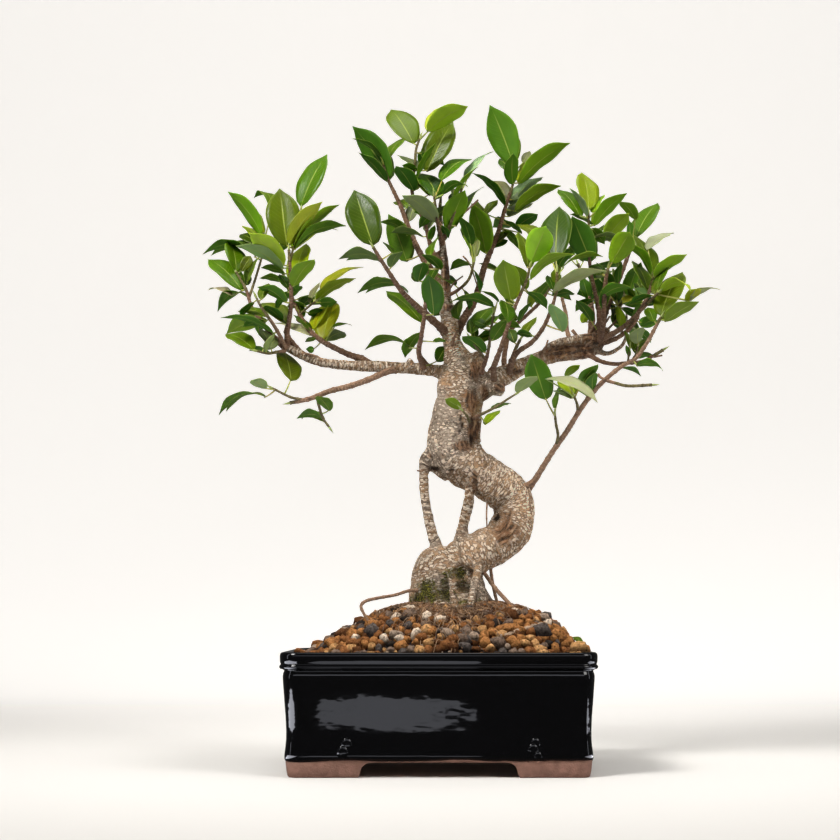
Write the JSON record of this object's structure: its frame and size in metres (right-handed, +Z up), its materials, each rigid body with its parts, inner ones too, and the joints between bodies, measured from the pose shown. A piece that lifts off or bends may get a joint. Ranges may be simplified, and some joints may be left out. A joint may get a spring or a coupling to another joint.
{
  "type": "bonsai tree in a pot",
  "caption": "Ficus bonsai with an S-shaped trunk, aerial roots and leafy shoots, planted in granular soil in a rectangular glazed pot on clay feet.",
  "frame": {"origin": "on the surface that the pot's feet stand on, under the middle of the whole tree and pot", "axes": "+Z up, +X to the right along the front of the pot, -Y out of the front of the pot"},
  "size_m": [0.368, 0.2004, 0.4902],
  "materials": {
    "glazed_clay": "deep black glossy glaze over reddish brown clay, bare on the feet",
    "granules": "orange-brown baked clay, grey pebbles and pumice, matt",
    "bark": "grey-brown living bark with pale lenticels, matt",
    "mesh_plastic": "matt",
    "foliage": "living leaves, glossy above and paler beneath, on brown twigs"
  },
  "bodies": {
    "root": {"pot": "glazed_clay", "soil": "granules", "trunk": "bark", "drain_mesh_left": "mesh_plastic", "drain_mesh_right": "mesh_plastic", "shoot_left_top": "foliage", "shoot_left_branch": "foliage", "shoot_left_outer": "foliage", "shoot_left_low": "foliage", "shoot_left_hanging": "foliage", "shoot_crown_left": "foliage", "shoot_crown_left_tall": "foliage", "shoot_crown_top": "foliage", "shoot_leader_top": "foliage", "shoot_crown_right": "foliage", "shoot_inner_left": "foliage", "shoot_centre": "foliage", "shoot_centre_right": "foliage", "shoot_centre_back": "foliage", "shoot_centre_low": "foliage", "shoot_leader_twigs": "foliage", "shoot_trunk_side": "foliage", "shoot_trunk_sprout": "foliage", "shoot_slender_branch": "foliage", "shoot_right_upright": "foliage", "shoot_right_back": "foliage", "shoot_right_tall": "foliage", "shoot_right_front": "foliage", "shoot_right_outer": "foliage", "shoot_right_middle": "foliage", "shoot_right_end": "foliage", "shoot_back_left_top": "foliage", "shoot_back_left_branch": "foliage", "shoot_back_left_outer": "foliage", "shoot_back_left_hanging": "foliage", "shoot_back_crown_left": "foliage", "shoot_back_crown_tall": "foliage", "shoot_back_crown_top": "foliage", "shoot_back_crown_right": "foliage", "shoot_back_inner_left": "foliage", "shoot_back_centre": "foliage", "shoot_back_centre_right": "foliage", "shoot_back_slender": "foliage", "shoot_back_right_upright": "foliage", "shoot_back_right_outer": "foliage"}
  },
  "joints": []
}
